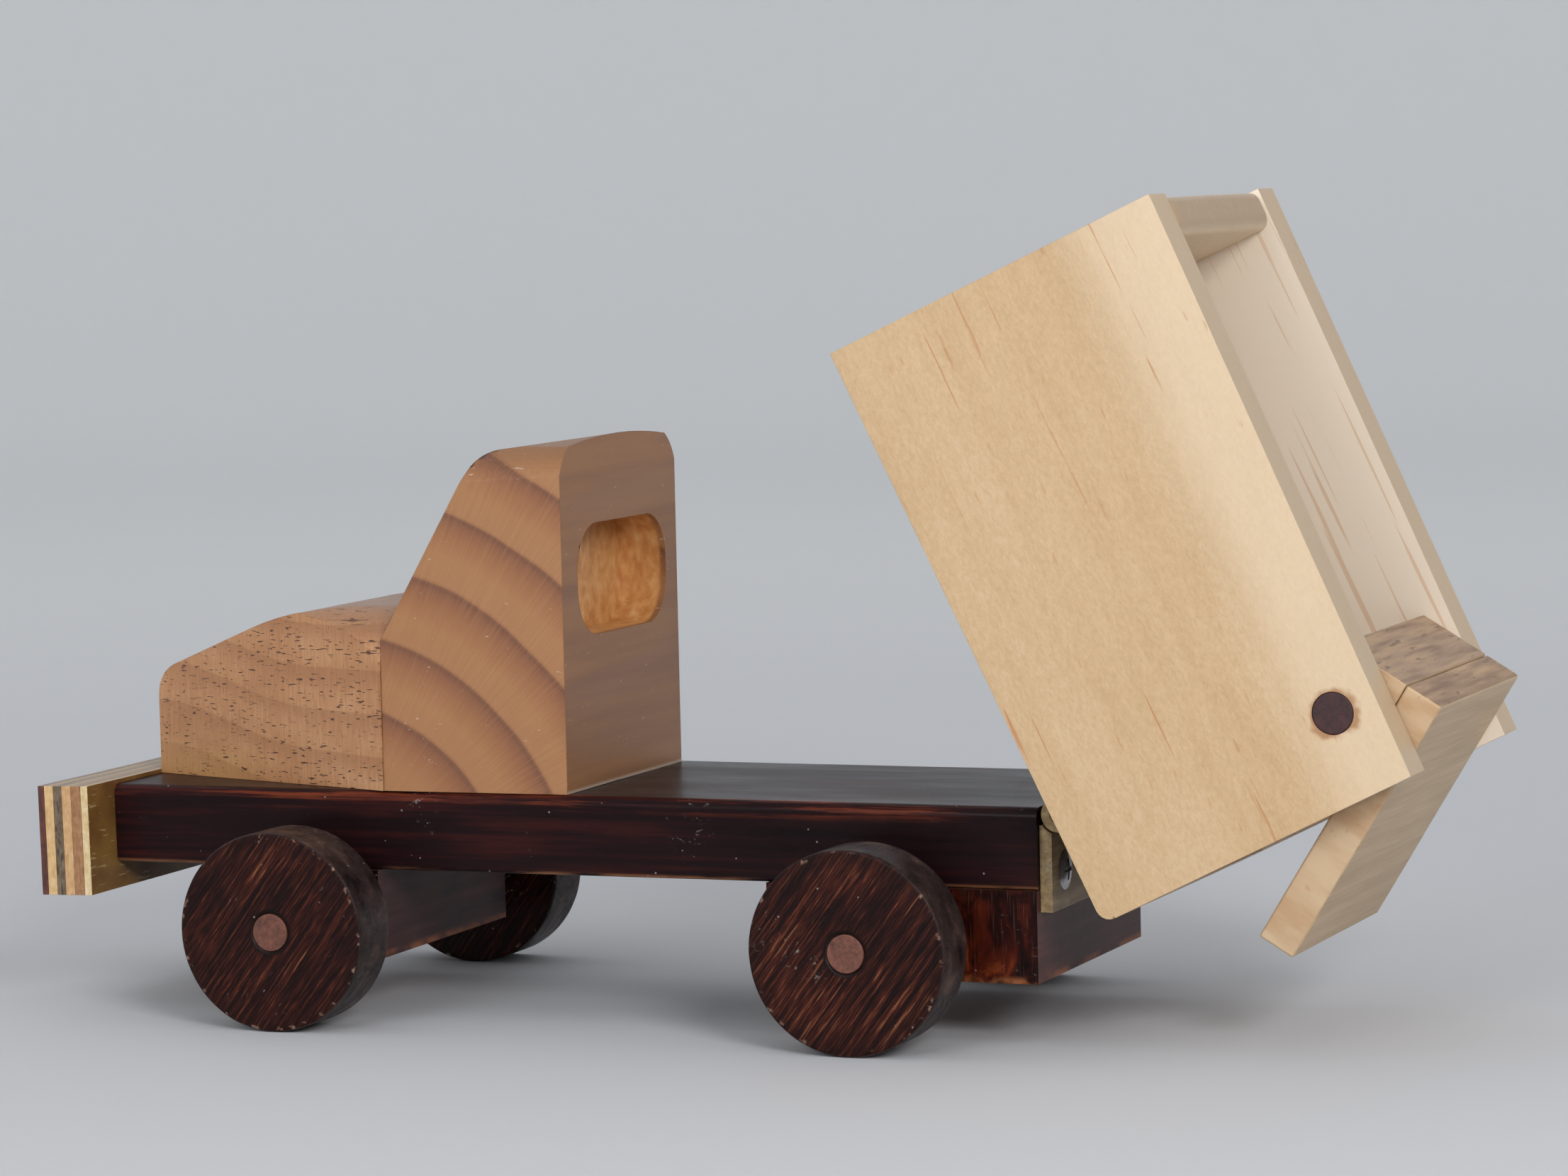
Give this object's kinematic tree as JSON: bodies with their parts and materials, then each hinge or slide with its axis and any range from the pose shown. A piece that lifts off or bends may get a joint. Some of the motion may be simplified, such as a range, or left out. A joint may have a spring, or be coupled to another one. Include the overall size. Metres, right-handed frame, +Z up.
{
  "type": "wooden toy dump truck",
  "caption": "Handmade wooden toy tipper truck with a hinged tipping bed, a top-hung swinging tailgate and wheels that roll on dowel axles.",
  "frame": {"origin": "on the ground under the middle of the truck's whole outline, as it stands with the bed tipped", "axes": "+X towards the bumper, +Y to the truck's left, +Z up"},
  "size_m": [0.3638, 0.135, 0.2036],
  "materials": {
    "chassis": "dark maroon stained wood, satin",
    "bumper_strip_1": "dark red-brown hardwood, satin",
    "bumper_strip_2": "light maple, satin",
    "bumper_strip_3": "dark walnut, satin",
    "bumper_strip_4": "light tan wood, satin",
    "bumper_strip_5": "medium brown wood, satin",
    "bumper_strip_6": "very light wood with an amber varnished rear face",
    "bonnet": "orange-tan beech with short dark flecks, satin",
    "cab": "tan softwood with bold brown growth rings, satin",
    "axle_blocks": "dark stained wood, end grain showing, satin",
    "hinge": "khaki-brown wooden hinge, satin",
    "hinge_pin": "wooden dowel",
    "screws": "plated steel",
    "axles": "pinkish hardwood dowel",
    "wheels": "streaked dark brown plywood-like grain, glossy tread",
    "bed": "pale honey wood, fine stipple, thin orange grain lines",
    "tailgate_rod": "dark maroon dowel, satin",
    "tailgate_plate": "pale honey wood, greyed",
    "tailgate_bar": "grey-tan wood"
  },
  "bodies": {
    "truck": {"chassis": "chassis", "bumper_strip_1": "bumper_strip_1", "bumper_strip_2": "bumper_strip_2", "bumper_strip_3": "bumper_strip_3", "bumper_strip_4": "bumper_strip_4", "bumper_strip_5": "bumper_strip_5", "bumper_strip_6": "bumper_strip_6", "bonnet": "bonnet", "cab": "cab", "front_axle_block": "axle_blocks", "rear_axle_block": "axle_blocks", "hinge_chassis_leaf": "hinge", "hinge_pin": "hinge_pin", "chassis_leaf_screws": "screws"},
    "front_wheels": {"front_axle": "axles", "wheel_front_left": "wheels", "wheel_front_right": "wheels"},
    "rear_wheels": {"rear_axle": "axles", "wheel_rear_left": "wheels", "wheel_rear_right": "wheels"},
    "bed": {"hinge_bed_leaf": "hinge", "bed_leaf_screws": "screws", "bed_floor": "bed", "bed_side_left": "bed", "bed_side_right": "bed", "bed_headboard": "bed", "tailgate_rod": "tailgate_rod"},
    "tailgate": {"tailgate_plate": "tailgate_plate", "tailgate_bar": "tailgate_bar"}
  },
  "joints": [
    {"name": "front_axle_spin", "type": "hinge", "parent": "truck", "child": "front_wheels", "pos_m": [0.10949, 0, 0.025], "axis": [0, 1, 0], "continuous": true},
    {"name": "rear_axle_spin", "type": "hinge", "parent": "truck", "child": "rear_wheels", "pos_m": [-0.04351, 0, 0.025], "axis": [0, 1, 0], "continuous": true},
    {"name": "bed_tip", "type": "hinge", "parent": "truck", "child": "bed", "pos_m": [-0.08731, 0, 0.0557], "axis": [0, 1, 0], "range_deg": [0, 64.5]},
    {"name": "tailgate_swing", "type": "hinge", "parent": "bed", "child": "tailgate", "pos_m": [-0.15931, 0, 0.08281], "axis": [0, 1, 0], "range_deg": [-32.54, 147.46]}
  ]
}
